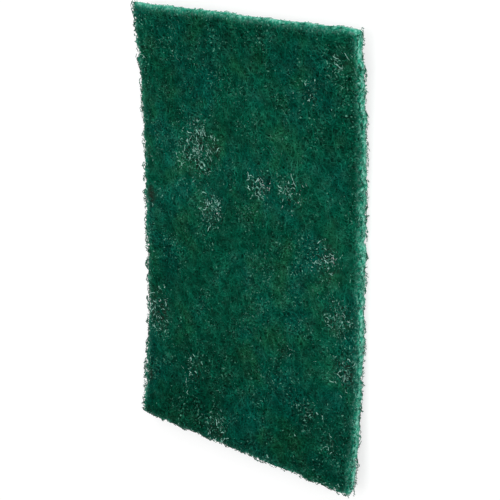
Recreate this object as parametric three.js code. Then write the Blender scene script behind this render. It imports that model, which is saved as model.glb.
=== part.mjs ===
// A nylon scouring pad: crimped strands laid every way, needled and bonded into one springy web,
// coated with grit and die-cut to a rectangle. It lies on its back and both ends curl up a little.
// Millimetres. X runs across the pad, Y along it, Z up from the surface that it lies on.

import * as THREE from "three";

// The cut blank
const PAD_WIDTH = 152.4;
const PAD_LENGTH = 228.6;
const PAD_THICKNESS = 6.35;
const CORNER_RADIUS = 1;

// How it lies: level in the middle, with both ends lifted
const LEVEL_LENGTH = 60;
const CURL_RISE = 6;

// The strands that show on each face, and how far the web sinks between them
const STRAND_PITCH = 7;
const STRAND_SPAN = 64;
const STRAND_BOW = 16;
const FACE_RELIEF = 1.3;
const BACK_RELIEF = 0.9;

// The level land in the middle of the underside
const REST_LAND = 16;

// The deepest notches between the tufts of the cut edge
const NOTCH_DEPTH = 1;

// Thin spots, where the web is lean and daylight shows through small gaps. Each is given by its
// place, as shares of half the width and half the length, and by its size beside the usual one.
const THIN_RADIUS = 10;
const THIN_DIP = 0.5;
const GAP_WIDTH = 1.9;
const THIN_SPOTS = [
  { across: -0.45, along: 0.35, size: 1.4 },
  { across: -0.6, along: 0.8, size: 0.8 },
  { across: 0.85, along: 0.85, size: 1.1 },
  { across: 0.6, along: 0.7, size: 0.9 },
  { across: -0.3, along: 0.1, size: 0.9 },
  { across: 0.1, along: 0.25, size: 0.9 },
  { across: 0.4, along: 0.25, size: 1 },
  { across: 0.7, along: 0, size: 1.1 },
  { across: -0.85, along: -0.45, size: 0.8 },
  { across: 0.8, along: -0.25, size: 1 },
  { across: 0.35, along: -0.45, size: 0.7 },
  { across: -0.5, along: -0.7, size: 1.2 },
  { across: 0.9, along: -0.5, size: 0.8 },
  { across: -0.3, along: -0.88, size: 1.1 },
  { across: 0.6, along: -0.7, size: 0.9 },
  { across: 0.8, along: -0.8, size: 0.8 },
];

// The lattice of points that carries the relief. A point may leave its place in it by these shares
// of the pitch: SCATTER at random, PULL to slide onto a strand, STRAY for the middle of a gap.
// LEAST_SPREAD is the smallest triangle that may come of it, beside a square of the pitch.
const COLUMNS = 41;
const ROWS = 62;
const SCATTER = 0.2;
const PULL = 0.34;
const STRAY = 0.32;
const LEAST_SPREAD = 0.15;
const pitch = Math.min(PAD_WIDTH / COLUMNS, PAD_LENGTH / ROWS);

// The layers of points: the two faces, and the row of tufts at half thickness on the cut edge
const FACE = 1;
const BACK = 2;
const CUT = 3;

// A repeatable draw from low to high for a few whole numbers
function draw(low, high, ...keys) {
  let hash = 0x9e3779b9;
  for (const key of keys) {
    hash = Math.imul(hash ^ (key + 0x7f4a7c15), 0x85ebca6b);
    hash = Math.imul(hash ^ (hash >>> 13), 0xc2b2ae35);
    hash ^= hash >>> 16;
  }
  return low + ((high - low) * (hash >>> 0)) / 2 ** 32;
}

// A place in the regular lattice of the flat blank. Row 0 is at the far end, column 0 at the left.
function latticePlace(row, column) {
  return { x: (column / COLUMNS - 0.5) * PAD_WIDTH, y: (0.5 - row / ROWS) * PAD_LENGTH };
}

// The strands of one face as points spaced evenly along bowed curves
function strandPoints(layer) {
  const count = Math.round((PAD_WIDTH * PAD_LENGTH) / (STRAND_PITCH * STRAND_SPAN));
  const steps = Math.ceil((4 * STRAND_SPAN) / pitch);
  const points = [];
  for (let strand = 0; strand < count; strand++) {
    const x = PAD_WIDTH * draw(-0.5, 0.5, layer, strand, 1);
    const y = PAD_LENGTH * draw(-0.5, 0.5, layer, strand, 2);
    const heading = draw(0, Math.PI, layer, strand, 3);
    const bow = draw(-STRAND_BOW, STRAND_BOW, layer, strand, 4);
    const curve = new THREE.QuadraticBezierCurve(
      new THREE.Vector2(-STRAND_SPAN / 2, 0),
      new THREE.Vector2(0, bow),
      new THREE.Vector2(STRAND_SPAN / 2, 0),
    );
    for (const point of curve.getSpacedPoints(steps)) {
      points.push(point.rotateAround(new THREE.Vector2(), heading).add(new THREE.Vector2(x, y)));
    }
  }
  return points;
}

// The way from a place to the nearest point of any strand
function wayToStrand(strands, { x, y }) {
  const here = new THREE.Vector2(x, y);
  let nearest = strands[0];
  for (const point of strands) {
    if (point.distanceToSquared(here) < nearest.distanceToSquared(here)) nearest = point;
  }
  return nearest.clone().sub(here);
}

// How lean the web is at a place: 1 in the middle of a thin spot, 0 outside all of them
function leanness({ x, y }) {
  let most = 0;
  for (const { across, along, size } of THIN_SPOTS) {
    const away = Math.hypot(x - (across * PAD_WIDTH) / 2, y - (along * PAD_LENGTH) / 2);
    most = Math.max(most, 1 - away / (THIN_RADIUS * size));
  }
  return Math.sqrt(most);
}

// The lattice's cells, each with its four corners anticlockwise from above
function latticeCells() {
  const cells = [];
  for (let row = 0; row < ROWS; row++) {
    for (let column = 0; column < COLUMNS; column++) {
      const first = row * (COLUMNS + 1) + column;
      const corners = [first, first + COLUMNS + 1, first + COLUMNS + 2, first + 1];
      cells.push({ row, column, corners, middle: latticePlace(row + 0.5, column + 0.5) });
    }
  }
  return cells;
}

// The cells that are gaps, leanest first. No two of them touch, and none is at the cut edge.
function chooseGaps(cells) {
  const ranked = cells
    .filter(({ row, column }) => row % (ROWS - 1) && column % (COLUMNS - 1))
    .map((cell) => ({ ...cell, lean: leanness(cell.middle) }))
    .filter(({ lean }) => lean > 0)
    .map((cell) => ({ ...cell, rank: cell.lean + draw(0, 1, cell.row, cell.column) }))
    .sort((one, other) => other.rank - one.rank);
  const gaps = [];
  for (const cell of ranked) {
    const touches = (gap) => Math.abs(gap.row - cell.row) < 2 && Math.abs(gap.column - cell.column) < 2;
    if (!gaps.some(touches)) gaps.push(cell);
  }
  return gaps;
}

// A point on the cut edge: notched in from the die's line, and slid along it
function edgePlace(layer, row, column) {
  const home = latticePlace(row, column);
  const atSide = column % COLUMNS === 0;
  const atEnd = row % ROWS === 0;
  const notch = NOTCH_DEPTH * Math.max(0, draw(-0.5, 1, layer, row, column, 5));
  const inward = notch + (atSide && atEnd ? CORNER_RADIUS * (1 - Math.SQRT1_2) : 0);
  const slide = pitch * draw(-SCATTER, SCATTER, layer, row, column, 6);
  return {
    x: home.x + (atSide ? -Math.sign(home.x) * inward : slide),
    y: home.y + (atEnd ? -Math.sign(home.y) * inward : slide),
  };
}

// Whether a point becomes part of a strand, given the way to the nearest one
function joinsStrand(way) {
  return way.length() < pitch / 2;
}

// A point inside the edge: slid onto the strand beside it, or else scattered
function insidePlace(layer, row, column, way) {
  const home = latticePlace(row, column);
  if (joinsStrand(way)) {
    const slide = way.clone().clampLength(0, PULL * pitch);
    return { x: home.x + slide.x, y: home.y + slide.y };
  }
  return {
    x: home.x + pitch * draw(-SCATTER, SCATTER, layer, row, column, 7),
    y: home.y + pitch * draw(-SCATTER, SCATTER, layer, row, column, 8),
  };
}

// How far a point lies below the crests of its face: strands stand up, the web between them sinks
function sinkOf(layer, row, column, way) {
  const home = latticePlace(row, column);
  if (layer === BACK && Math.hypot(home.x, home.y) < REST_LAND / 2 + pitch) return 0;
  const [least, most] = joinsStrand(way) ? [0, 0.2] : [0.4, 1];
  const relief = layer === FACE ? FACE_RELIEF : BACK_RELIEF;
  return relief * draw(least, most, layer, row, column, 9) + THIN_DIP * leanness(home);
}

// Twice the area of a triangle seen from above, below zero where it has turned over
function spread(a, b, c) {
  return (b.x - a.x) * (c.y - a.y) - (c.x - a.x) * (b.y - a.y);
}

// The two triangles of a cell. The fold joins its two highest opposite corners, unless that would
// turn a triangle over.
function foldCell(points, [i, j, k, l]) {
  const [a, b, c, d] = [points[i], points[j], points[k], points[l]];
  const first = Math.min(spread(a, b, c), spread(a, c, d));
  const second = Math.min(spread(a, b, d), spread(b, c, d));
  const least = LEAST_SPREAD * pitch ** 2;
  const firstIsHigher = a.stands + c.stands > b.stands + d.stands;
  const useFirst = Math.min(first, second) > least ? firstIsHigher : first > second;
  return useFirst
    ? { sound: first > least, triangles: [i, j, k, i, k, l] }
    : { sound: second > least, triangles: [i, j, l, j, k, l] };
}

// One face of the flat blank as a list of points. Each has its height over the underside, and
// stands out from the face by some amount.
function layFace(layer, cells, gaps) {
  const strands = strandPoints(layer);
  const points = [];
  for (let row = 0; row <= ROWS; row++) {
    for (let column = 0; column <= COLUMNS; column++) {
      const home = latticePlace(row, column);
      const way = wayToStrand(strands, home);
      const atEdge = column % COLUMNS === 0 || row % ROWS === 0;
      const sink = sinkOf(layer, row, column, way);
      const height = layer === FACE ? PAD_THICKNESS - sink : sink;
      const place = atEdge ? edgePlace(layer, row, column) : insidePlace(layer, row, column, way);
      points.push({ ...place, home, atEdge, height, stands: -sink });
    }
  }
  for (const gap of gaps) drawIn(points, gap);
  for (let round = 0; round < 10; round++) {
    for (const { corners } of cells) {
      if (!foldCell(points, corners).sound) easeHome(points, corners);
    }
  }
  return points;
}

// Draws the corners of a gap in towards a place in its cell, to a ragged width. Both faces share it.
function drawIn(points, { row, column, corners, middle }) {
  const x = middle.x + pitch * draw(-STRAY, STRAY, row, column, 1);
  const y = middle.y + pitch * draw(-STRAY, STRAY, row, column, 2);
  corners.forEach((index, turn) => {
    const point = points[index];
    const reach = (GAP_WIDTH / 2) * draw(0.6, 1.4, row, column, turn, 3);
    point.x = x + reach * Math.sign(point.home.x - middle.x);
    point.y = y + reach * Math.sign(point.home.y - middle.y);
  });
}

// Takes the inside corners of a cell part of the way back to their places in the lattice
function easeHome(points, corners) {
  for (const index of corners) {
    const point = points[index];
    if (point.atEdge) continue;
    point.x = THREE.MathUtils.lerp(point.x, point.home.x, 0.25);
    point.y = THREE.MathUtils.lerp(point.y, point.home.y, 0.25);
  }
}

// The lattice's outermost points in turn, anticlockwise from above
function outline() {
  const loop = [];
  for (let row = 0; row < ROWS; row++) loop.push({ row, column: 0 });
  for (let column = 0; column < COLUMNS; column++) loop.push({ row: ROWS, column });
  for (let row = ROWS; row > 0; row--) loop.push({ row, column: COLUMNS });
  for (let column = COLUMNS; column > 0; column--) loop.push({ row: 0, column });
  return loop;
}

// The row of tufts at half thickness, one for each point of the outline
function layCut(loop) {
  return loop.map(({ row, column }) => ({
    ...edgePlace(CUT, row, column),
    height: PAD_THICKNESS * draw(0.4, 0.6, CUT, row, column, 10),
  }));
}

// Triangles between two rings of points of the same count, the upper one first. They face away
// from the middle when the rings run anticlockwise, and towards it when they run clockwise.
function wall(upper, lower) {
  return upper.flatMap((here, turn) => {
    const next = (turn + 1) % upper.length;
    return [here, lower[turn], upper[next], upper[next], lower[turn], lower[next]];
  });
}

// Bends the flat blank into its curl: its underside rises from the level middle to each end, and
// whatever stands over it leans inward with it
function bend({ x, y, height }) {
  const reach = (PAD_LENGTH - LEVEL_LENGTH) / 2;
  const past = Math.max(0, Math.abs(y) - LEVEL_LENGTH / 2) / reach;
  const tilt = Math.sign(y) * Math.atan((2 * CURL_RISE * past) / reach);
  const lift = CURL_RISE * past ** 2;
  return [x, y - height * Math.sin(tilt), lift + height * Math.cos(tilt)];
}

// The whole web as one closed body: both faces, the cut edge round them, and the gaps' walls
function buildWeb() {
  const cells = latticeCells();
  const gaps = chooseGaps(cells);
  const loop = outline();
  const face = layFace(FACE, cells, gaps);
  const back = layFace(BACK, cells, gaps);
  const points = [...face, ...back, ...layCut(loop)];

  const triangles = [];
  for (const cell of cells) {
    if (gaps.some(({ row, column }) => row === cell.row && column === cell.column)) continue;
    triangles.push(...foldCell(face, cell.corners).triangles);
    triangles.push(...foldCell(back, cell.corners).triangles.map((i) => i + face.length).reverse());
  }
  for (const { corners } of gaps) {
    const clockwise = [...corners].reverse();
    triangles.push(...wall(clockwise, clockwise.map((i) => i + face.length)));
  }
  const faceRing = loop.map(({ row, column }) => row * (COLUMNS + 1) + column);
  const backRing = faceRing.map((i) => i + face.length);
  const cutRing = loop.map((point, turn) => 2 * face.length + turn);
  triangles.push(...wall(faceRing, cutRing), ...wall(cutRing, backRing));

  const web = new THREE.BufferGeometry();
  web.setAttribute("position", new THREE.Float32BufferAttribute(points.flatMap(bend), 3));
  web.setIndex(triangles);
  web.computeVertexNormals();
  return web;
}

const coatedNylon = new THREE.MeshStandardMaterial({ color: 0x0e5a43, roughness: 0.92, metalness: 0 });

const pad = new THREE.Mesh(buildWeb(), coatedNylon);
pad.name = "scouring_pad";

const part = new THREE.Group();
part.add(pad);

export default part;
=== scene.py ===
# A nylon scouring pad that lies flat: a web of crimped, coated fibres round a denser middle.
# Metres. X runs across the pad, Y along it and Z up from the floor, as in the frame.

import math

import bpy
import numpy as np
from mathutils import Matrix, Vector
from mathutils.bvhtree import BVHTree


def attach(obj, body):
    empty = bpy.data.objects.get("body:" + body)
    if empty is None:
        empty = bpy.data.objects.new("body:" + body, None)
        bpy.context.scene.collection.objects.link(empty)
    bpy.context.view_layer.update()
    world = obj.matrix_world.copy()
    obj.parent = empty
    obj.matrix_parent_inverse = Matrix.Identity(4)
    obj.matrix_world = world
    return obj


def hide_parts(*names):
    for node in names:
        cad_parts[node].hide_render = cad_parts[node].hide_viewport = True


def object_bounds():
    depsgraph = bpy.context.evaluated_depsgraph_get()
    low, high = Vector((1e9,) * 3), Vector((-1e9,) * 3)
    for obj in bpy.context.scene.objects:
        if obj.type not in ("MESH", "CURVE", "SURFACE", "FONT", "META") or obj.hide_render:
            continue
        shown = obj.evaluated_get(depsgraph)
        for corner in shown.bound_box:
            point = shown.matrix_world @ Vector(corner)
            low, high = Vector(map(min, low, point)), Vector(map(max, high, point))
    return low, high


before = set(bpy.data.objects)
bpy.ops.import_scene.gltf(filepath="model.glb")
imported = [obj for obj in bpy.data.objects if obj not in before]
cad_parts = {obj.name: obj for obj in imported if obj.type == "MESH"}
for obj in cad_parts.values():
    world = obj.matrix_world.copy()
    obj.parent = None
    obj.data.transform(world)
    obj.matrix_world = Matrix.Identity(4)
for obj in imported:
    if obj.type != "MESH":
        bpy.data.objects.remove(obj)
cad_low, cad_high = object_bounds()

MM = 0.001
rng = np.random.default_rng(7)

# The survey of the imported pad: the spacing of its heights, and how far each map is smoothed
SURVEY_STEP = 0.6 * MM
CREST_BLUR = 0.9 * MM
LEAN_BLUR = 4.5 * MM
LEAN_GAPS = 0.05  # the share of gaps at which the web counts as leanest
INNER = 2.5 * MM  # further in than this, a place without material is a gap
CORNER_ROWS = 5  # so many rows from a corner, the line of the edge is carried straight on
BACK_REACH = 10  # the smooth back edge is averaged over so many places to either side

# How lean and pale the left, right, front and back rims are, and how far in that fades
FRAYS = (0.6, 0.0, 0.3, 0.0)
FRAY_FADE = 2.2 * MM

# Spots where the web is lean and pale strands show, as the photograph has them: their places as
# shares of half the width and half the length, their reach in millimetres and their strength
PALE_SPOTS = (
    (-0.45, 0.35, 12, 1.0), (-0.45, 0.46, 7, 0.8), (-0.30, 0.38, 6, 0.7), (-0.95, 0.10, 6, 0.9),
    (-0.90, -0.46, 11, 0.9), (0.90, -0.46, 9, 0.75), (0.81, -0.23, 9, 0.8), (0.12, 0.26, 7, 0.75),
    (0.40, 0.26, 8, 0.8), (-0.32, 0.11, 8, 1.0), (0.70, 0.00, 10, 0.8), (-0.24, -0.93, 8, 0.7),
    (-0.96, -0.79, 5, 0.7), (-0.96, 0.30, 4, 0.6), (-0.60, 0.80, 6, 0.5), (0.85, 0.85, 7, 0.45),
    (0.60, 0.70, 7, 0.5), (0.35, -0.45, 5, 0.5), (-0.50, -0.70, 9, 0.5), (0.60, -0.70, 7, 0.45),
    (0.80, -0.80, 7, 0.5),
)

# The dense middle of the web, under the loose fibres of the faces and the cut edge
CORE_CELL = 1.0 * MM
CORE_SHAKE = 0.25  # how far its points are moved at random, as a share of a cell
CORE_MARGIN = 0.3 * MM  # how far inside the cut edge it stops
CORE_DEPTH = 0.45 * MM  # how far its surface lies under the web's
CORE_LEAST = 0.8 * MM  # its least thickness
CORE_CLEARANCE = 0.1 * MM  # how far it stays off the floor
CORE_THINS = 0.8  # the share of its thickness that it loses in a thin spot
LUMP_HEIGHT = 0.3 * MM
LUMP_SIZE = 1.0 * MM
LUMP_MOST = 1.6  # no lump is higher or deeper than this times its height
OPENING_SIZE = 0.9 * MM
OPENING_LEAN = 0.85  # an opening comes where this times how lean the web is,
OPENING_CHANCE = 0.5  # and this times a random map,
OPENING_LIMIT = 1.1  # add up to this or more
CORE_RAGS = (1.1 * MM, 0.6 * MM, 0.6 * MM, 0.1 * MM)  # how ragged its left, right, front and back are
RAG_BLUR = (0.25, 0.5, 0.25)
RAG_SPREAD = 0.61  # the deviation that this blur leaves of 1
RAG_FADE = 5.0 * MM  # how far in the rags move its points

# The bright fibres of the cut edge, where they show on the faces: their own paler colour and painted
# light
CUT_FADE = 4.5 * MM  # how far in they show
CUT_FALL = 1.5  # the power by which they fade
# The differences between the edges are painted light
RIM_CUT_AND_LIGHT = (0.65, 0.7, 0.2, 0.75)  # how bright they are at the left, right, front and back edge

# The fibres: each range is from least to most, as a share of what it stands beside
FIBRE_RADIUS = 0.17 * MM
FIBRE_SIZES = (0.7, 1.25)
STRETCH_SIZES = (0.75, 1.3)  # the same along one fibre
FIBRE_SIDES = 3
FIBRE_STEP = 1.2 * MM
FIBRE_BEND = 0.42  # radians in a step
LEAST_POINTS = 3  # a fibre of fewer points is left out
SIDEWAYS_OF = (0.12, 0.08, 1.0)  # a fibre's sides are turned from this direction
CRIMP_WAVE = 4.5 * MM
WAVE_SIZES = (0.7, 1.4)
CRIMP_SWING = 0.4 * MM
SWING_SIZES = (0.4, 1.3)
CRIMP_RISE = 0.35 * MM
RISE_TURNS = 1.3  # how often it rises for each swing
FLOOR_GAP = 1.5 * FIBRE_RADIUS  # the least height of a fibre's middle
LOOP_GAP = 2 * FIBRE_RADIUS

# Each fibre's square cell of the texture that the pieces are baked to, as shares of the cell
CHART_MARGIN = 0.06
CHART_LENGTH = 0.88
CHART_HEIGHT = 0.74
CHART_CAP = ((0.1, 0.85), (0.3, 0.85), (0.2, 0.97))
CHART_SHIFTS = ((0, 0), (0.5, 0))  # where its two end caps lie

# The fibres of the faces: their names, how many, and their lowest and highest over the surface
FACE_POINTS = 26  # on each fibre
FACE_LAYERS = (
    ("face_fibres_a", 1250, -0.5 * MM, 0.2 * MM),
    ("face_fibres_b", 1250, -0.4 * MM, 0.4 * MM),
    ("face_fibres_c", 800, -0.3 * MM, 0.5 * MM),
)
BACK_LAYER = ("back_fibres", 600, -0.4 * MM, 0.5 * MM)
FACE_OVERHANG = 0.2 * MM  # the deviation of how far they pass the cut edge
SPOT_SINK = 2.0 * MM  # how far most fibres of a face sink into the web in a lean spot
SPOT_SINKS = 0.9  # the share of them that do

# The fibres through the cut edge, and the loops along its rims
EDGE_COUNT, EDGE_POINTS = 5600, 6  # how many, and the points on each
EDGE_LEAST = 0.3 * MM  # how far inside the edge they and the loops start, at least
EDGE_DEEPEST = 2.5 * MM  # and at most
EDGE_PATH = {"bend": 0.35, "step": 0.7 * MM, "swing": 0.15 * MM}
EDGE_FAN = 0.75  # the deviation of their direction from straight out, in radians
EDGE_DRIFT = 0.05  # the deviation of their rise or fall in a step, as a share of the thickness
EDGE_CREST = 0.2 * MM  # how far the highest stand over the web
EDGE_RADIUS = FIBRE_RADIUS * 0.9
PROUD_CHANCE = 0.4
PROUD_RANGE = (0.4, 1.3)  # how far those pass the edge, in millimetres
STOPPED_RANGE = (0, 0.5)  # and how far the others do
PROUD_SHARES = (1.0, 1.0, 0.2, 1.0)  # how much of that there is at the front, right, back and left
TIP_FADE = 0.6 * MM  # over this, the tip of one that stands proud turns dark
TIP_LEAST = 0.15  # of its brightness, so much is left
LOOP_COUNT, LOOP_POINTS = 2200, 7
LOOP_DEEPEST = 1.2 * MM
LOOP_PATH = {"bend": 0.95, "step": 0.5 * MM, "swing": 0.1 * MM}
LOOP_FAN = 1.2
LOOP_UPPER = 0.6  # the share of loops along the upper rim
LOOP_HIGH = (0.85, 1.05)  # how high those lie, as shares of the thickness
LOOP_LOW = 0.1
LOOP_RISE = 0.3 * MM
LOOP_RANGE = (0.4, 1.0)
LOOP_RADIUS = FIBRE_RADIUS * 1.1
LOOP_TONES = (-1.6, -0.6)
# Their cut colour's strength at each side is painted light
LOOP_CUT_AND_LIGHT = (0.15, 0.15, 0.75, 0.15)  # how bright they are at the front, right, back and left

# The fibres in the thin spots
SPOT_COUNT, SPOT_POINTS = 3600, 6
SPOT_TRIES = 20  # places tried for each
SPOT_STEP = 0.8 * MM
SPOT_HEIGHTS = (0.3, 1.05)  # as shares of the thickness
SPOT_SLOPE = 0.05  # the deviation of their slope, and the size of their waves, as such shares
SPOT_PALE = 0.4  # the share of them that are pale

# Where the photograph was taken from, beside the middle of the photographed face
CAMERA_PLACE = Vector((487.5, 200.7, 487.5)) * MM
CAMERA_LOOKS = Vector((-0.6749, -0.2853, -0.6808))
CAMERA_UP = Vector((-0.1974, 0.9585, -0.2059))
FOCAL_PIXELS = 1430
IMAGE_PIXELS = 500
FACE_HEIGHT = 6.35 * MM

# Light: the world's strength, and each lamp's name, place, size and power
WORLD_LIGHT = 0.62
LAMPS = (
    ("key", (1.1, 0.5, 0.6), 0.9, 12.0),
    ("top", (-0.2, 0.1, 1.4), 1.2, 4.5),
    ("back", (0.1, 1.2, 0.5), 0.8, 5.0),
)

# The floor: pale grey paper with a glow where it is seen, so that it looks white
FLOOR_REACH = 3.0
FLOOR_GREY = 0.85
FLOOR_GLOW = 1.2
FLOOR_SHARE = 0.5  # how much of the floor's look is its glow

# The sizes of the lumps in the coat's colour
BROAD_SIZE = 25 * MM
BLUE_SIZE = 14 * MM
LEAF_SIZE = 9 * MM
PATCH_SIZE = 6 * MM
DUST_SIZE = 3.0 * MM
BLOTCH_SIZE = 2.2 * MM
STRETCH_SIZE = 0.9 * MM
CUT_SIZE = 0.7 * MM
GRAIN_SIZE = 0.6 * MM
SPECK_SIZE = 0.55 * MM
STRAND_SIZE = 0.3 * MM
STRAND_TURNS = (0.3, 1.35, 2.4)  # the ways that the strands in the core's skin run, in radians
STRAND_RELIEF = 0.4 * MM

# Painted shade: the coat's colour is lightest along a line across the pad,
# and loses this for each square metre from there
LIGHTEST = 30 * MM
END_SHADE = 18.0

# Colours, linear
FACE_GREEN = (0.003, 0.104, 0.058)
BLUE_GREEN = (0.002, 0.101, 0.068)
LEAF_GREEN = (0.008, 0.112, 0.052)
# The core's green is darker than the face's: painted shade of the depth under the loose fibres
CORE_GREEN_SHADED = (0.002, 0.081, 0.045)
DRY_GREEN = (0.105, 0.330, 0.240)
PALE_STRAND = (0.310, 0.600, 0.510)
# Painted shade of the web's depths, seen through its lean spots
LEAN_DEPTH_SHADE = (0.014, 0.020, 0.014)
# The cut fibres' paler colours raised with painted light through them; the mint is partly painted
# highlight
CUT_GREEN = (0.020, 0.310, 0.195)
CUT_MINT = (0.230, 0.590, 0.470)


# Survey of the pad

grid_x = np.arange(cad_low.x + SURVEY_STEP / 2, cad_high.x, SURVEY_STEP)
grid_y = np.arange(cad_low.y + SURVEY_STEP / 2, cad_high.y, SURVEY_STEP)


def blur(field, sigma):
    """Gaussian blur of a map of the survey, with nothing beyond its edges."""
    reach = int(math.ceil(3 * sigma / SURVEY_STEP))
    kernel = np.exp(-0.5 * (np.arange(-reach, reach + 1) * SURVEY_STEP / sigma) ** 2)
    kernel /= kernel.sum()
    for axis in (0, 1):
        field = np.apply_along_axis(np.convolve, axis, field, kernel, mode="same")
    return field


def look_up(field, x, y):
    """Bilinear values of a map of the survey at points."""
    column = np.clip((x - grid_x[0]) / SURVEY_STEP, 0, len(grid_x) - 1.001)
    row = np.clip((y - grid_y[0]) / SURVEY_STEP, 0, len(grid_y) - 1.001)
    i, j = row.astype(int), column.astype(int)
    s, t = row - i, column - j
    near = field[i, j] * (1 - t) + field[i, j + 1] * t
    far = field[i + 1, j] * (1 - t) + field[i + 1, j + 1] * t
    return near * (1 - s) + far * s


def surface_heights(node):
    """Maps of a node's upper and lower surface, nan where there is no material."""
    vertices = [v.co for v in node.data.vertices]
    tree = BVHTree.FromPolygons(vertices, [p.vertices for p in node.data.polygons])
    upper = np.full((len(grid_y), len(grid_x)), np.nan)
    lower = upper.copy()
    over, under = cad_high.z + 10 * MM, cad_low.z - 10 * MM
    for i, y in enumerate(grid_y):
        for j, x in enumerate(grid_x):
            hit = tree.ray_cast(Vector((x, y, over)), Vector((0, 0, -1)))[0]
            if hit is not None:
                upper[i, j] = hit.z
                lower[i, j] = tree.ray_cast(Vector((x, y, under)), Vector((0, 0, 1)))[0].z
    return upper, lower


def smoothed(field, has, sigma):
    """A map smoothed over the places that have material."""
    return blur(np.where(has, field, 0), sigma) / np.maximum(blur(has.astype(float), sigma), 1e-9)


def first_and_last(has, places):
    """The first and last place with material in each row, as if the corners were square."""
    ends = places[has.argmax(axis=1)], places[len(places) - 1 - has[:, ::-1].argmax(axis=1)]
    for edge in ends:
        edge[:CORNER_ROWS] = edge[CORNER_ROWS]
        edge[-CORNER_ROWS:] = edge[-CORNER_ROWS - 1]
    return ends


def steadied(edge, reach):
    """The line of an edge averaged along it, without its notches."""
    wide = np.pad(edge, reach, mode="edge")
    return np.convolve(wide, np.ones(2 * reach + 1) / (2 * reach + 1), mode="valid")


def edge_distances(x, y):
    """How far inside the left, right, front and back edge points lie."""
    return [
        x - np.interp(y, grid_y, edge_left),
        np.interp(y, grid_y, edge_right) - x,
        y - np.interp(x, grid_x, edge_front),
        np.interp(x, grid_x, edge_back) - y,
    ]


def inset(x, y):
    """How far inside the cut edge points lie."""
    return np.minimum.reduce(edge_distances(x, y))


def cut_rim_and_light(x, y):
    """How much the cut edge's bright fibres and painted light show at points of a face, from 0 to 1."""
    near = [np.clip(1 - away / CUT_FADE, 0, 1) ** CUT_FALL for away in edge_distances(x, y)]
    return np.maximum.reduce([glow * share for glow, share in zip(RIM_CUT_AND_LIGHT, near)])


def pale_spots(x, y):
    """How strongly points belong to a lean, pale spot or rim, from 0 to 1."""
    rims = [fray * np.exp(-np.maximum(distance, 0) / FRAY_FADE)
            for fray, distance in zip(FRAYS, edge_distances(x, y))]
    strongest = np.maximum.reduce(rims)
    for across, along, reach, strength in PALE_SPOTS:
        away = np.hypot(x - across * cad_high.x, y - along * cad_high.y) / (reach * MM)
        strongest = np.maximum(strongest, strength * np.exp(-away ** 2))
    return strongest


def under_share(x, y, z):
    """How far below the upper surface points lie, as a share of the thickness there."""
    above, below = look_up(top, x, y), look_up(bottom, x, y)
    return np.clip((above - z) / np.maximum(above - below, 1e-6), 0, 1)


def rag(count, size):
    """A row of random depths, none below zero, that change over a few places."""
    blurred = np.convolve(rng.standard_normal(count + 2), np.array(RAG_BLUR), mode="valid")
    return size * np.abs(blurred) / RAG_SPREAD


def cloud(size):
    """A smooth random map of mean 0 and deviation 1, with lumps of about this size."""
    field = blur(rng.standard_normal((len(grid_y), len(grid_x))), size)
    return field / field.std()


upper, lower = surface_heights(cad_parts["scouring_pad"])
has = ~np.isnan(upper)
edge_left, edge_right = first_and_last(has, grid_x)
edge_front, edge_back = first_and_last(has.T, grid_y)
edge_back = steadied(edge_back, BACK_REACH)
top = smoothed(upper, has, CREST_BLUR)
bottom = smoothed(lower, has, CREST_BLUR)
inside = inset(*np.meshgrid(grid_x, grid_y)) > 0
gaps = ~has & (inset(*np.meshgrid(grid_x, grid_y)) > INNER)
pale = pale_spots(*np.meshgrid(grid_x, grid_y))
lean = np.sqrt(np.clip(smoothed(gaps, inside, LEAN_BLUR) / LEAN_GAPS, 0, 1)) * pale


# Meshes

def make_piece(name, vertices, quads, triangles, material, chart=None):
    """An object from arrays of vertices and faces, without the vertices that no face uses.

    A chart gives the place of each face corner on the texture that the piece is baked to.
    """
    corners = np.concatenate([quads.ravel(), triangles.ravel()])
    used, corners = np.unique(corners, return_inverse=True)
    starts = np.concatenate([
        np.arange(len(quads)) * 4,
        len(quads) * 4 + np.arange(len(triangles)) * 3,
    ])
    mesh = bpy.data.meshes.new(name)
    mesh.vertices.add(len(used))
    mesh.vertices.foreach_set("co", vertices[used].astype(np.float32).ravel())
    mesh.loops.add(len(corners))
    mesh.loops.foreach_set("vertex_index", corners.astype(np.int32))
    mesh.polygons.add(len(starts))
    mesh.polygons.foreach_set("loop_start", starts.astype(np.int32))
    mesh.polygons.foreach_set("use_smooth", np.ones(len(starts), bool))
    if chart is not None:
        mesh.uv_layers.new(name="OFBake").uv.foreach_set("vector", chart.astype(np.float32).ravel())
    mesh.update()
    mesh.materials.append(material)
    piece = bpy.data.objects.new(name, mesh)
    bpy.context.scene.collection.objects.link(piece)
    return piece, used


def set_values(piece, name, values):
    """A named value for each vertex of a piece."""
    attribute = piece.data.attributes.new(name, "FLOAT", "POINT")
    attribute.data.foreach_set("value", values.astype(np.float32).ravel())


def join_diagonals(kept):
    """Fills in round cells that touch only at a corner."""
    while True:
        a, b, c, d = kept[:-1, :-1], kept[:-1, 1:], kept[1:, :-1], kept[1:, 1:]
        rows, columns = np.nonzero((a == d) & (b == c) & (a != b))
        if not len(rows):
            return kept
        for i in (0, 1):
            for j in (0, 1):
                kept[rows + i, columns + j] = True


def main_island(kept):
    """The cells that hang together with the border."""
    reached = np.zeros_like(kept)
    reached[0] = reached[-1] = reached[:, 0] = reached[:, -1] = True
    while True:
        grown = reached.copy()
        grown[1:] |= reached[:-1]
        grown[:-1] |= reached[1:]
        grown[:, 1:] |= reached[:, :-1]
        grown[:, :-1] |= reached[:, 1:]
        grown &= kept
        if (grown == reached).all():
            return reached
        reached = grown


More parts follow.
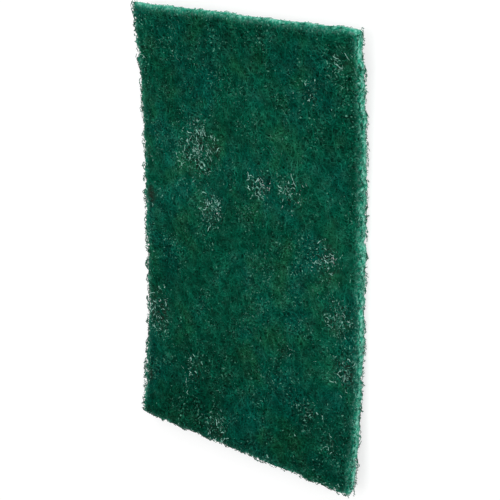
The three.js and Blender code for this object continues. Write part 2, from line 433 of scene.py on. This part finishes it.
def web_core(material):
    """The dense middle of the web: lumpy on both sides, thin and full of openings where it is lean."""
    columns = round((cad_high.x - cad_low.x) / CORE_CELL)
    rows = round((cad_high.y - cad_low.y) / CORE_CELL)
    across, along = np.meshgrid(np.linspace(0, 1, columns + 1), np.linspace(0, 1, rows + 1))
    x = cad_low.x + across * (cad_high.x - cad_low.x)
    y = cad_low.y + along * (cad_high.y - cad_low.y)
    left = np.interp(y, grid_y, edge_left) + CORE_MARGIN
    right = np.interp(y, grid_y, edge_right) - CORE_MARGIN
    front = np.interp(x, grid_x, edge_front) + CORE_MARGIN
    back = np.interp(x, grid_x, edge_back) - CORE_MARGIN
    x = left + across * (right - left)
    y = front + along * (back - front)
    x += np.exp((left - x) / RAG_FADE) * rag(rows + 1, CORE_RAGS[0])[:, None]
    x -= np.exp((x - right) / RAG_FADE) * rag(rows + 1, CORE_RAGS[1])[:, None]
    y += np.exp((front - y) / RAG_FADE) * rag(columns + 1, CORE_RAGS[2])
    y -= np.exp((y - back) / RAG_FADE) * rag(columns + 1, CORE_RAGS[3])
    for values in (x, y):
        shakes = rng.uniform(-CORE_SHAKE, CORE_SHAKE, (rows - 1, columns - 1))
        values[1:-1, 1:-1] += CORE_CELL * shakes

    face, back_face = look_up(top, x, y), look_up(bottom, x, y)
    middle = (face + back_face) / 2
    body = 1 - CORE_THINS * look_up(lean, x, y)
    maps = [look_up(cloud(LUMP_SIZE), x, y) for _ in range(2)]
    lumps = [LUMP_HEIGHT * np.clip(lump, -LUMP_MOST, LUMP_MOST) for lump in maps]
    rise = (face - CORE_DEPTH - middle + lumps[0]) * body
    sink = (middle - back_face - CORE_DEPTH + lumps[1]) * body
    high = middle + np.maximum(rise, CORE_LEAST / 2)
    low = np.maximum(middle - np.maximum(sink, CORE_LEAST / 2), CORE_CLEARANCE)

    chance = OPENING_CHANCE * look_up(cloud(OPENING_SIZE), x, y)
    openness = OPENING_LEAN * look_up(lean, x, y) - OPENING_LIMIT + chance
    kept = openness[:-1, :-1] < 0
    kept[0] = kept[-1] = kept[:, 0] = kept[:, -1] = True
    kept = main_island(join_diagonals(kept))

    number = np.arange((rows + 1) * (columns + 1)).reshape(rows + 1, columns + 1)
    a, b, c, d = number[:-1, :-1], number[:-1, 1:], number[1:, 1:], number[1:, :-1]
    lift = number.size
    upper_faces = np.stack([a, b, c, d], axis=-1)[kept]
    lower_faces = np.stack([d, c, b, a], axis=-1)[kept] + lift
    padded = np.pad(kept, 1)
    walls = []
    for start, end, beside in (
        (a, b, padded[:-2, 1:-1]),
        (b, c, padded[1:-1, 2:]),
        (c, d, padded[2:, 1:-1]),
        (d, a, padded[1:-1, :-2]),
    ):
        bare = kept & ~beside
        walls.append(np.stack([start, start + lift, end + lift, end], axis=-1)[bare])
    places = np.stack([np.stack([x, y, h], axis=-1) for h in (high, low)]).reshape(-1, 3)
    quads = np.concatenate([upper_faces, lower_faces, *walls])
    piece, used = make_piece("web_core", places, quads, np.zeros((0, 3), int), material)
    flat = places[used, :2].T
    border = np.zeros(x.shape, bool)
    border[0] = border[-1] = border[:, 0] = border[:, -1] = True
    on_wall = np.concatenate([border.ravel(), border.ravel()])[used]
    set_values(piece, "cut", np.where(on_wall, 1, cut_rim_and_light(*flat)))
    set_values(piece, "lean", look_up(pale, *flat))
    set_values(piece, "under", used >= lift)
    return piece


def wander(starts, headings, points, bend=FIBRE_BEND, step=FIBRE_STEP, swing=CRIMP_SWING):
    """Crimped paths in plan, one from each start, and the crimp's turn at each of their points."""
    count = len(starts)
    turns = headings[:, None] + np.cumsum(rng.normal(0, bend, (count, points)), axis=1)
    steps = step * np.stack([np.cos(turns), np.sin(turns)], axis=-1)
    path = starts[:, None] + np.cumsum(steps, axis=1)
    wave = CRIMP_WAVE * rng.uniform(*WAVE_SIZES, (count, 1))
    turn = 2 * np.pi * (np.arange(points) * step / wave + rng.random((count, 1)))
    aside = np.stack([-np.sin(turns), np.cos(turns)], axis=-1)
    path += (swing * rng.uniform(*SWING_SIZES, (count, 1)) * np.sin(turn))[..., None] * aside
    return path, turn


def kept_points(x, y, overhang):
    """How many points of each path come before it leaves the pad by more than its overhang."""
    out = inset(x, y) < -overhang[:, None]
    return np.where(out.any(axis=1), out.argmax(axis=1), x.shape[1])


def fibres(name, path, counts, radius, cut, material, paleness=0.0, tones=(0, 1)):
    """Closed three-sided tubes along paths, each as far as its count of points."""
    whole = counts >= LEAST_POINTS
    path, counts, cut = path[whole], counts[whole], cut[whole]
    count, points = path.shape[:2]
    ahead = np.gradient(path, axis=1)
    ahead /= np.linalg.norm(ahead, axis=-1, keepdims=True)
    aside = np.cross(ahead, SIDEWAYS_OF)
    aside /= np.linalg.norm(aside, axis=-1, keepdims=True)
    over = np.cross(ahead, aside)
    thick = radius * rng.uniform(*FIBRE_SIZES, (count, 1)) * rng.uniform(*STRETCH_SIZES, (count, points))
    sides = FIBRE_SIDES
    ring = []
    for side in range(sides):
        turn = 2 * np.pi * side / sides
        ring.append(path + thick[..., None] * (math.cos(turn) * aside + math.sin(turn) * over))
    vertices = np.stack(ring, axis=2)
    number = np.arange(count * points * sides).reshape(count, points, sides)
    runs = np.arange(points - 1) < (counts - 1)[:, None]
    quads, charts = [], []
    for side in range(sides):
        beside = (side + 1) % sides
        here, there = number[:, :-1], number[:, 1:]
        quad = [here[..., side], here[..., beside], there[..., beside], there[..., side]]
        quads.append(np.stack(quad, axis=-1)[runs])
        charts.append(tube_chart(count, points, side, sides)[runs])
    ends = number[np.arange(count), counts - 1]
    caps = np.concatenate([number[:, 0, ::-1], ends])
    chart = np.concatenate([np.concatenate(charts).reshape(-1, 2), cap_chart(count)])
    place = vertices.reshape(-1, 3)
    piece, used = make_piece(name, place, np.concatenate(quads), caps, material, chart)
    set_values(piece, "tone", rng.uniform(*tones, count)[used // (points * sides)])
    set_values(piece, "pale", (rng.random(count) < paleness)[used // (points * sides)])
    set_values(piece, "cut", cut.reshape(-1)[used // sides])
    set_values(piece, "lean", look_up(pale, path[..., 0], path[..., 1]).reshape(-1)[used // sides])
    set_values(piece, "under", under_share(*np.moveaxis(path, 2, 0)).reshape(-1)[used // sides])
    return piece


def chart_cells(count):
    """The lower left corners and the size of square cells of the texture, one for each fibre."""
    row = math.ceil(math.sqrt(count))
    index = np.arange(count)
    return np.stack([index % row, index // row], axis=-1) / row, 1 / row


def tube_chart(count, points, side, sides):
    """The places of one side's faces: along the fibre to the right, round it upwards."""
    corners, size = chart_cells(count)
    along = CHART_MARGIN + CHART_LENGTH * np.arange(points) / (points - 1)
    low, high = (CHART_MARGIN + CHART_HEIGHT * step / sides for step in (side, side + 1))
    face = np.stack([
        np.stack([along[:-1], np.full(points - 1, low)], axis=-1),
        np.stack([along[:-1], np.full(points - 1, high)], axis=-1),
        np.stack([along[1:], np.full(points - 1, high)], axis=-1),
        np.stack([along[1:], np.full(points - 1, low)], axis=-1),
    ], axis=1)
    return corners[:, None, None] + size * face[None]


def cap_chart(count):
    """The places of the end caps, above their fibre's sides."""
    corners, size = chart_cells(count)
    both = [corners[:, None] + size * (np.array(CHART_CAP) + shift) for shift in CHART_SHIFTS]
    return np.concatenate(both).reshape(-1, 2)


def face_fibres(name, count, low, high, field, material):
    """Fibres that wander over a face, at heights over its map from low to high."""
    starts = np.stack([
        rng.uniform(cad_low.x, cad_high.x, count),
        rng.uniform(cad_low.y, cad_high.y, count),
    ], axis=-1)
    path, turn = wander(starts, rng.uniform(0, 2 * np.pi, count), FACE_POINTS)
    x, y = path[..., 0], path[..., 1]
    rise = rng.uniform(low, high, (count, 1)) + CRIMP_RISE * np.sin(RISE_TURNS * turn)
    sunk = np.where(rng.random((count, 1)) < SPOT_SINKS, SPOT_SINK, 0) * look_up(pale, x, y)
    upward = 1 if field is top else -1
    z = np.maximum(look_up(field, x, y) + rise - upward * sunk, FLOOR_GAP)
    counts = kept_points(x, y, np.abs(rng.normal(0, FACE_OVERHANG, count)))
    path = np.stack([x, y, z], axis=-1)
    return fibres(name, path, counts, FIBRE_RADIUS, cut_rim_and_light(x, y), material)


def edge_places(count, deepest):
    """Random places just inside the cut edge, the sides they lie at, and the way out there."""
    width, length = cad_high.x - cad_low.x, cad_high.y - cad_low.y
    way = rng.uniform(0, 2 * (width + length), count)
    side = np.searchsorted(np.cumsum([width, length, width]), way)
    along = way - np.concatenate([[0], np.cumsum([width, length, width])])[side]
    outward = np.array([-np.pi / 2, 0, np.pi / 2, np.pi])[side]
    start_x = np.choose(side, [cad_low.x + along, cad_high.x, cad_low.x + along, cad_low.x])
    start_y = np.choose(side, [cad_low.y, cad_low.y + along, cad_high.y, cad_low.y + along])
    depth = rng.uniform(EDGE_LEAST, deepest, count)
    out = np.stack([np.cos(outward), np.sin(outward)], axis=-1)
    return np.stack([start_x, start_y], axis=-1) - depth[:, None] * out, side, outward


def edge_fibres(name, count, points, material):
    """Short fibres through the cut edge: most stop at the die's cut, some stand proud of it."""
    starts, side, outward = edge_places(count, EDGE_DEEPEST)
    headings = outward + rng.normal(0, EDGE_FAN, count)
    path = wander(starts, headings, points, **EDGE_PATH)[0]
    x, y = path[..., 0], path[..., 1]
    level = rng.uniform(0.0, 1.0, (count, 1))
    drift = np.cumsum(rng.normal(0, EDGE_DRIFT, (count, points)), axis=1)
    share = np.clip(level + drift, 0.02, 1.0)
    z = look_up(bottom, x, y) * (1 - share) + (look_up(top, x, y) + EDGE_CREST) * share
    stands = rng.random(count) < PROUD_CHANCE
    proud = np.where(stands, rng.uniform(*PROUD_RANGE, count), rng.uniform(*STOPPED_RANGE, count))
    counts = kept_points(x, y, proud * np.array(PROUD_SHARES)[side] * MM)
    heart = 1 - np.abs(2 * share - 1) ** 4
    cut = heart * np.clip(1 + inset(x, y) / TIP_FADE, TIP_LEAST, 1)
    path = np.stack([x, y, np.maximum(z, FLOOR_GAP)], axis=-1)
    return fibres(name, path, counts, EDGE_RADIUS, cut, material)


def edge_loops(name, count, points, material):
    """Small loops along the rims of the cut edge, bright at the back with painted light and dark
    elsewhere.
    """
    starts, side, outward = edge_places(count, LOOP_DEEPEST)
    headings = outward + rng.normal(0, LOOP_FAN, count)
    path = wander(starts, headings, points, **LOOP_PATH)[0]
    x, y = path[..., 0], path[..., 1]
    is_upper = rng.random((count, 1)) < LOOP_UPPER
    share = np.where(is_upper, rng.uniform(*LOOP_HIGH, (count, 1)), LOOP_LOW)
    z = look_up(bottom, x, y) * (1 - share) + look_up(top, x, y) * share
    z += rng.uniform(0, LOOP_RISE, (count, 1))
    counts = kept_points(x, y, rng.uniform(*LOOP_RANGE, count) * np.array(PROUD_SHARES)[side] * MM)
    path = np.stack([x, y, np.maximum(z, LOOP_GAP)], axis=-1)
    cut = np.array(LOOP_CUT_AND_LIGHT)[side][:, None] * np.ones(x.shape)
    return fibres(name, path, counts, LOOP_RADIUS, cut, material, tones=LOOP_TONES)


def thin_spot_fibres(name, count, points, material):
    """Short fibres through the web's thickness where it is lean, many of them pale."""
    tries = SPOT_TRIES * count
    x = rng.uniform(cad_low.x, cad_high.x, tries)
    y = rng.uniform(cad_low.y, cad_high.y, tries)
    chosen = np.nonzero(rng.random(tries) < look_up(pale, x, y))[0][:count]
    starts = np.stack([x[chosen], y[chosen]], axis=-1)
    path, turn = wander(starts, rng.uniform(0, 2 * np.pi, len(starts)), points, step=SPOT_STEP)
    x, y = path[..., 0], path[..., 1]
    slope = rng.normal(0, SPOT_SLOPE, (len(starts), 1)) * (np.arange(points) - points / 2)
    level = rng.uniform(*SPOT_HEIGHTS, (len(starts), 1))
    share = np.clip(level + slope + SPOT_SLOPE * np.sin(turn), 0.03, 1)
    z = look_up(bottom, x, y) * (1 - share) + look_up(top, x, y) * share
    counts = kept_points(x, y, np.zeros(len(starts)))
    path = np.stack([x, y, np.maximum(z, FLOOR_GAP)], axis=-1)
    return fibres(name, path, counts, FIBRE_RADIUS, np.zeros(x.shape), material, paleness=SPOT_PALE)


# Materials

def add(tree, kind, inputs=(), **settings):
    """A node with its settings, and its inputs set to values or linked to sockets."""
    made = tree.nodes.new(kind)
    for name, value in settings.items():
        setattr(made, name, value)
    for name, value in dict(inputs).items():
        if isinstance(value, bpy.types.NodeSocket):
            tree.links.new(value, made.inputs[name])
        else:
            made.inputs[name].default_value = value
    return made


def blended(tree, factor, first, second):
    """The colour between two colours."""
    made = add(tree, "ShaderNodeMix", data_type="RGBA")
    for index, value in ((0, factor), (6, first), (7, second)):
        if isinstance(value, bpy.types.NodeSocket):
            tree.links.new(value, made.inputs[index])
        elif index:
            made.inputs[index].default_value = (*value, 1)
        else:
            made.inputs[index].default_value = value
    return made.outputs[2]


def scaled(tree, value, low, high, to_low=0, to_high=1):
    """A number taken from one range to another, held at its ends."""
    made = add(tree, "ShaderNodeMapRange", {
        "Value": value, "From Min": low, "From Max": high, "To Min": to_low, "To Max": to_high,
    })
    return made.outputs["Result"]


def attribute(tree, name):
    """A value that is stored on the piece's points."""
    return add(tree, "ShaderNodeAttribute", attribute_name=name).outputs["Fac"]


def noise(tree, place, size, detail=2.0):
    """Noise with lumps of about this size."""
    inputs = {"Vector": place, "Scale": 0.5 / size, "Detail": detail}
    return add(tree, "ShaderNodeTexNoise", inputs).outputs["Fac"]


def new_material(name, roughness, specular):
    """A material, its nodes, its surface and the place on the piece in metres."""
    material = bpy.data.materials.new(name)
    material.use_nodes = True
    tree = material.node_tree
    surface = tree.nodes["Principled BSDF"]
    surface.inputs["Roughness"].default_value = roughness
    surface.inputs["Specular IOR Level"].default_value = specular
    place = add(tree, "ShaderNodeTexCoord").outputs["Object"]
    return material, tree, surface, place


def coat_colour(tree, place, green):
    """The grit coat's green, bluer in some patches and yellower in others."""
    blue = scaled(tree, noise(tree, place, BLUE_SIZE), 0.45, 0.65)
    leaf = scaled(tree, noise(tree, place, LEAF_SIZE), 0.52, 0.72)
    ratio = [g / f for g, f in zip(green, FACE_GREEN)]
    tinted = [tuple(r * c for r, c in zip(ratio, colour)) for colour in (BLUE_GREEN, LEAF_GREEN)]
    return blended(tree, leaf, blended(tree, blue, green, tinted[0]), tinted[1])


def math_node(tree, operation, *values):
    """One step of arithmetic."""
    return add(tree, "ShaderNodeMath", dict(enumerate(values)), operation=operation).outputs[0]


def coat_worn_and_shaded(tree, place, coat, light):
    """A coat in short light and dark stretches, strong in some patches and faint in others.

    Pale dry specks come with the strong patches, most where the web is lean; painted shade darkens both
    ends.
    """
    lean_here = attribute(tree, "lean")
    patch = scaled(tree, noise(tree, place, PATCH_SIZE), 0.38, 0.62)
    grain = scaled(tree, noise(tree, place, GRAIN_SIZE), 0.3, 0.7, -0.6, 0.6)
    contrast = scaled(tree, patch, 0, 1, 0.4, 1.15)
    broad = scaled(tree, noise(tree, place, BROAD_SIZE, 1.0), 0.35, 0.65, 0.88, 1.12)
    along = add(tree, "ShaderNodeSeparateXYZ", {"Vector": place}).outputs["Y"]
    away = math_node(tree, "SUBTRACT", along, LIGHTEST)
    # Painted shade, darker toward both ends of the pad
    painted_end_shade = math_node(tree, "MULTIPLY", math_node(tree, "MULTIPLY", away, away), -END_SHADE)
    broad = math_node(tree, "ADD", broad, painted_end_shade)
    blotch = scaled(tree, noise(tree, place, BLOTCH_SIZE, 1.0), 0.3, 0.7, 0.66, 1.34)
    value = math_node(tree, "MULTIPLY_ADD", grain, contrast, broad)
    value = math_node(tree, "MULTIPLY", math_node(tree, "MULTIPLY", value, blotch), light)
    dusty = scaled(tree, noise(tree, place, DUST_SIZE, 1.0), 0.42, 0.68, 1.01, 0.955)
    fullness = math_node(tree, "MULTIPLY", dusty, scaled(tree, value, 0.5, 1.5, 1.02, 0.975))
    inputs = {"Color": coat, "Value": value, "Saturation": fullness}
    # worn carries the random tone with the painted shade of the ends and of the core's strand gaps
    worn = add(tree, "ShaderNodeHueSaturation", inputs).outputs["Color"]
    speck = math_node(tree, "MULTIPLY_ADD", patch, 0.12, noise(tree, place, SPECK_SIZE, 0.0))
    speck = math_node(tree, "MULTIPLY_ADD", lean_here, 0.18, speck)
    return blended(tree, scaled(tree, speck, 0.80, 0.92), worn, DRY_GREEN)


def cut_colour_and_light(tree, place, covered):
    """The bright fibres of the cut edge with painted light, over a colour for the places that are not
    cut.
    """
    under = attribute(tree, "under")
    stretch = noise(tree, place, CUT_SIZE, 1.0)
    # Painted light bounced from the floor: the cut colour turns paler toward the lower face
    mottle_and_floor_bounce = math_node(tree, "MULTIPLY_ADD", under, 0.15, stretch)
    bright = blended(tree, scaled(tree, mottle_and_floor_bounce, 0.46, 0.68), CUT_GREEN, CUT_MINT)
    return blended(tree, attribute(tree, "cut"), covered, bright)


def fibre_material():
    """The coated fibres: green, with pale stretches on worn ones and bright at the cut edge with painted
    light.
    """
    material, tree, surface, place = new_material("coated_fibre", 0.8, 0.02)
    light = scaled(tree, attribute(tree, "tone"), -2, 1, 0.18, 1.2)
    colour = coat_worn_and_shaded(tree, place, coat_colour(tree, place, FACE_GREEN), light)
    stretch = scaled(tree, noise(tree, place, STRETCH_SIZE, 0.0), 0.46, 0.56)
    paleness = math_node(tree, "MULTIPLY", attribute(tree, "pale"), stretch)
    colour = blended(tree, paleness, colour, PALE_STRAND)
    tree.links.new(cut_colour_and_light(tree, place, colour), surface.inputs["Base Color"])
    return material


def core_material():
    """The dense middle: fine strands in three directions, with painted shade between them and where the
    web is lean.
    """
    material, tree, surface, place = new_material("web_core", 0.85, 0.02)
    strands = None
    for turn in STRAND_TURNS:
        inputs = {"Vector": place, "Rotation": (0.2, 0.1, turn), "Scale": (0.22, 1, 1)}
        turned = add(tree, "ShaderNodeMapping", inputs).outputs["Vector"]
        strand = noise(tree, turned, STRAND_SIZE, 1.0)
        strands = math_node(tree, "MAXIMUM", strands, strand) if strands else strand
    height = scaled(tree, strands, 0.45, 0.72)
    # Painted shade: darker between the strands, where their relief dips
    light = scaled(tree, height, 0, 1, 0.35, 1.25)
    colour = coat_worn_and_shaded(tree, place, coat_colour(tree, place, CORE_GREEN_SHADED), light)
    # Painted shade in the lean spots, less on the lower face
    bare = scaled(tree, attribute(tree, "lean"), 0.15, 0.7, 0, 0.85)
    bare = math_node(tree, "MULTIPLY", bare, scaled(tree, attribute(tree, "under"), 0, 1, 1, 0.3))
    colour = blended(tree, bare, colour, LEAN_DEPTH_SHADE)
    tree.links.new(cut_colour_and_light(tree, place, colour), surface.inputs["Base Color"])
    bump = add(tree, "ShaderNodeBump", {"Height": height, "Strength": 0.8, "Distance": STRAND_RELIEF})
    tree.links.new(bump.outputs["Normal"], surface.inputs["Normal"])
    return material


# Stage: floor, light and camera

def white_floor():
    """A pale floor that looks white where nothing shades it."""
    mesh = bpy.data.meshes.new("floor")
    signs = ((-1, -1), (1, -1), (1, 1), (-1, 1))
    corners = [(FLOOR_REACH * i, FLOOR_REACH * j, 0) for i, j in signs]
    mesh.from_pydata(corners, [], [(0, 1, 2, 3)])
    material = bpy.data.materials.new("floor")
    material.use_nodes = True
    tree = material.node_tree
    tree.nodes.clear()
    paper = add(tree, "ShaderNodeBsdfDiffuse", {"Color": (FLOOR_GREY, FLOOR_GREY, FLOOR_GREY, 1)})
    glow = add(tree, "ShaderNodeEmission", {"Color": (1, 1, 1, 1), "Strength": FLOOR_GLOW})
    rays = add(tree, "ShaderNodeLightPath")
    seen = rays.outputs["Is Camera Ray"]
    for way in ("Is Glossy Ray", "Is Transmission Ray"):
        seen = math_node(tree, "MAXIMUM", seen, rays.outputs[way])
    share = math_node(tree, "MULTIPLY", seen, FLOOR_SHARE)
    mixed = add(tree, "ShaderNodeMixShader", {0: share, 1: paper.outputs[0], 2: glow.outputs[0]})
    out = add(tree, "ShaderNodeOutputMaterial")
    tree.links.new(mixed.outputs[0], out.inputs["Surface"])
    mesh.materials.append(material)
    floor = bpy.data.objects.new("floor", mesh)
    bpy.context.scene.collection.objects.link(floor)
    return floor


def set_world(strength):
    """White all round, at a low strength as light and at 1 where it is seen."""
    world = bpy.data.worlds.new("studio")
    world.use_nodes = True
    tree = world.node_tree
    tree.nodes.clear()
    lit = add(tree, "ShaderNodeBackground", {"Color": (1, 1, 1, 1), "Strength": strength})
    seen = add(tree, "ShaderNodeBackground", {"Color": (1, 1, 1, 1), "Strength": 1.0})
    ray = add(tree, "ShaderNodeLightPath").outputs["Is Camera Ray"]
    mixed = add(tree, "ShaderNodeMixShader", {0: ray, 1: lit.outputs[0], 2: seen.outputs[0]})
    out = add(tree, "ShaderNodeOutputWorld")
    tree.links.new(mixed.outputs[0], out.inputs["Surface"])
    bpy.context.scene.world = world


def soft_light(name, place, size, power):
    """A square lamp that faces the pad."""
    lamp = bpy.data.lights.new(name, "AREA")
    lamp.size = size
    lamp.energy = power
    light = bpy.data.objects.new(name, lamp)
    light.location = place
    light.rotation_euler = (-Vector(place)).to_track_quat("-Z", "Y").to_euler()
    bpy.context.scene.collection.objects.link(light)


def make_camera():
    """The camera at the photograph's place, turned as the photograph is."""
    look = CAMERA_LOOKS.normalized()
    right = look.cross(CAMERA_UP).normalized()
    up = right.cross(look)
    data = bpy.data.cameras.new("camera")
    data.sensor_width = 36
    data.lens = FOCAL_PIXELS / IMAGE_PIXELS * data.sensor_width
    camera = bpy.data.objects.new("camera", data)
    turned = Matrix((right, up, -look)).transposed().to_4x4()
    camera.matrix_world = Matrix.Translation(CAMERA_PLACE + Vector((0, 0, FACE_HEIGHT))) @ turned
    bpy.context.scene.collection.objects.link(camera)
    bpy.context.scene.camera = camera


# The pad

core = web_core(core_material())
fibre = fibre_material()
pieces = [core]
for layer in FACE_LAYERS:
    pieces.append(face_fibres(*layer, top, fibre))
pieces.append(face_fibres(*BACK_LAYER, bottom, fibre))
pieces.append(edge_fibres("edge_fibres", EDGE_COUNT, EDGE_POINTS, fibre))
pieces.append(edge_loops("edge_loops", LOOP_COUNT, LOOP_POINTS, fibre))
pieces.append(thin_spot_fibres("thin_spot_fibres", SPOT_COUNT, SPOT_POINTS, fibre))
for piece in pieces:
    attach(piece, "root")
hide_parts("scouring_pad")

white_floor()
set_world(WORLD_LIGHT)
for lamp in LAMPS:
    soft_light(*lamp)
make_camera()
bpy.context.scene.view_settings.view_transform = "Standard"
